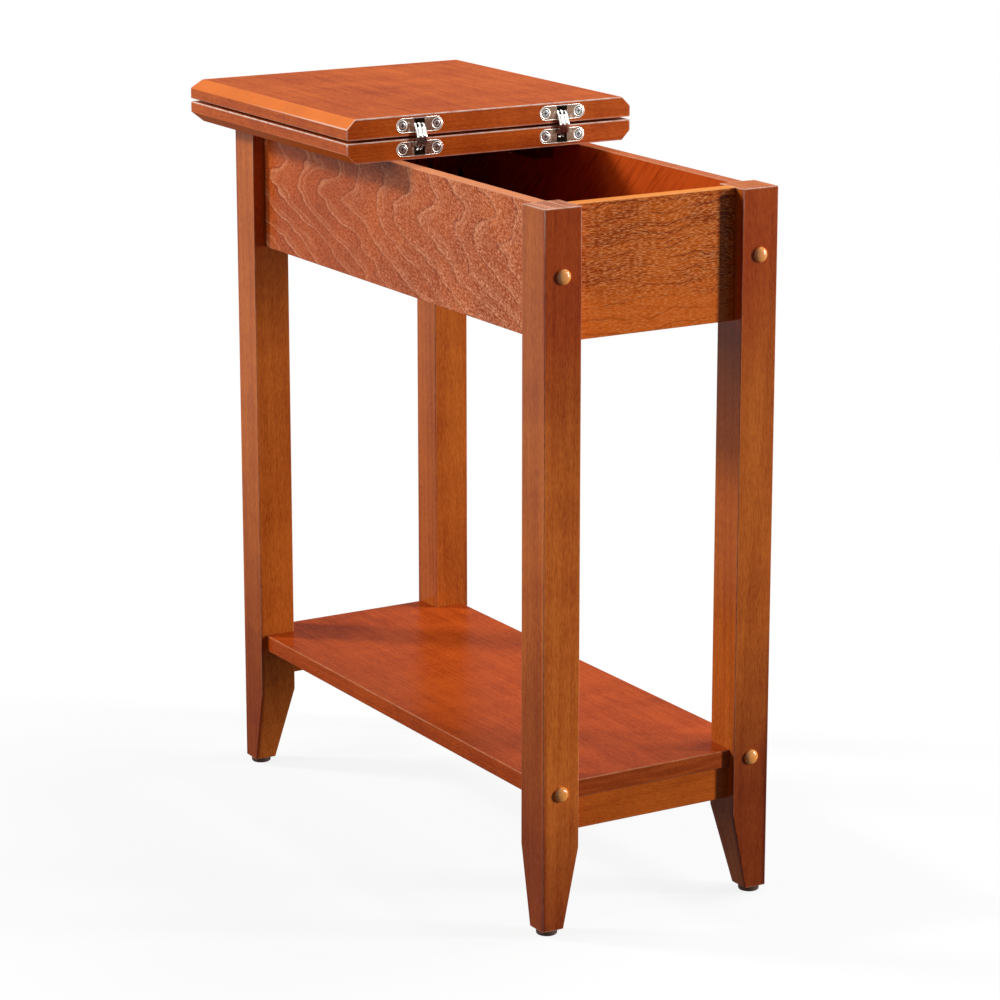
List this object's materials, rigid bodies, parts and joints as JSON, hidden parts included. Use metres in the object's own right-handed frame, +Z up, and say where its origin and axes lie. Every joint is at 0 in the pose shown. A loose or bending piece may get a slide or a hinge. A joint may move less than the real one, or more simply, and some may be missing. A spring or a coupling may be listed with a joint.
{
  "type": "flip-top end table",
  "caption": "Narrow wooden end table with a low shelf and a storage box closed by a folding top leaf on concealed hinges.",
  "frame": {"origin": "middle of the object's bounding box on the floor, leaf folded back as stored", "axes": "+Z up, +X towards the open front end, +Y towards the right long side"},
  "size_m": [0.5796, 0.286, 0.6555],
  "materials": {
    "leaf_wood": "cherry stain, semi-gloss lacquer",
    "leg_wood": "cherry stain, semi-gloss lacquer",
    "side_panel_wood": "cherry stain over figured veneer, semi-gloss lacquer",
    "end_panel_wood": "cherry stain over streaked veneer, semi-gloss lacquer",
    "tray_wood": "dark stained plywood",
    "shelf_wood": "cherry stain, semi-gloss lacquer",
    "rail_wood": "cherry stain, semi-gloss lacquer",
    "cleat_wood": "dark stained softwood",
    "button_wood": "light cherry stain, semi-gloss lacquer",
    "dowel_wood": "bare beech",
    "glide_plastic": "dark brown moulded",
    "hinge_nickel": "satin nickel plate",
    "link_steel": "bright nickel plate",
    "pin_steel": "turned steel",
    "hinge_screw_steel": "nickel plated, cross recess",
    "zinc_steel": "zinc plated"
  },
  "bodies": {
    "frame": {"barrel_nuts": "zinc_steel", "cleat_screws": "zinc_steel", "cover_buttons": "button_wood", "end_panel_dowels": "dowel_wood", "fixed_leaf": "leaf_wood", "frame_bolts": "zinc_steel", "front_end_panel": "end_panel_wood", "front_left_leg": "leg_wood", "front_right_leg": "leg_wood", "front_shelf_rail": "rail_wood", "hinge_screws_fixed": "hinge_screw_steel", "left_hinge_fixed_cup": "hinge_nickel", "left_hinge_fixed_pivot": "pin_steel", "left_side_panel": "side_panel_wood", "left_top_cleat": "cleat_wood", "leg_glides": "glide_plastic", "rail_dowels": "dowel_wood", "rear_end_panel": "end_panel_wood", "rear_left_leg": "leg_wood", "rear_right_leg": "leg_wood", "rear_shelf_rail": "rail_wood", "right_hinge_fixed_cup": "hinge_nickel", "right_hinge_fixed_pivot": "pin_steel", "right_side_panel": "side_panel_wood", "right_top_cleat": "cleat_wood", "shelf": "shelf_wood", "shelf_screws": "zinc_steel", "side_panel_dowels": "dowel_wood", "tray_panel": "tray_wood"},
    "flip_leaf": {"flip_leaf": "leaf_wood", "hinge_screws_flip": "hinge_screw_steel", "left_hinge_flip_cup": "hinge_nickel", "left_hinge_flip_pivot": "pin_steel", "right_hinge_flip_cup": "hinge_nickel", "right_hinge_flip_pivot": "pin_steel"},
    "left_fixed_links": {"left_hinge_fixed_links": "link_steel", "left_hinge_center_pin": "pin_steel", "left_hinge_fixed_slider": "pin_steel"},
    "left_flip_links": {"left_hinge_flip_links": "link_steel", "left_hinge_flip_slider": "pin_steel"},
    "right_fixed_links": {"right_hinge_fixed_links": "link_steel", "right_hinge_center_pin": "pin_steel", "right_hinge_fixed_slider": "pin_steel"},
    "right_flip_links": {"right_hinge_flip_links": "link_steel", "right_hinge_flip_slider": "pin_steel"}
  },
  "joints": [
    {"name": "flip_leaf_fold", "type": "hinge", "parent": "frame", "child": "flip_leaf", "pos_m": [0.01275, 0, 0.63625], "axis": [0, 1, 0], "range_deg": [0, 180]},
    {"name": "left_fixed_link_turn", "type": "hinge", "parent": "frame", "child": "left_fixed_links", "pos_m": [0.01115, -0.072, 0.63045], "axis": [0, 1, 0], "range_deg": [0, 122]},
    {"name": "left_flip_link_turn", "type": "hinge", "parent": "flip_leaf", "child": "left_flip_links", "pos_m": [0.01115, -0.072, 0.64205], "axis": [0, -1, 0], "range_deg": [0, 122]},
    {"name": "right_fixed_link_turn", "type": "hinge", "parent": "frame", "child": "right_fixed_links", "pos_m": [0.01115, 0.072, 0.63045], "axis": [0, 1, 0], "range_deg": [0, 122]},
    {"name": "right_flip_link_turn", "type": "hinge", "parent": "flip_leaf", "child": "right_flip_links", "pos_m": [0.01115, 0.072, 0.64205], "axis": [0, -1, 0], "range_deg": [0, 122]}
  ],
  "couplings": [
    {"joint": "left_fixed_link_turn", "follows": "flip_leaf_fold", "ratio": 0.67778},
    {"joint": "left_flip_link_turn", "follows": "flip_leaf_fold", "ratio": 0.67778},
    {"joint": "right_fixed_link_turn", "follows": "flip_leaf_fold", "ratio": 0.67778},
    {"joint": "right_flip_link_turn", "follows": "flip_leaf_fold", "ratio": 0.67778}
  ]
}
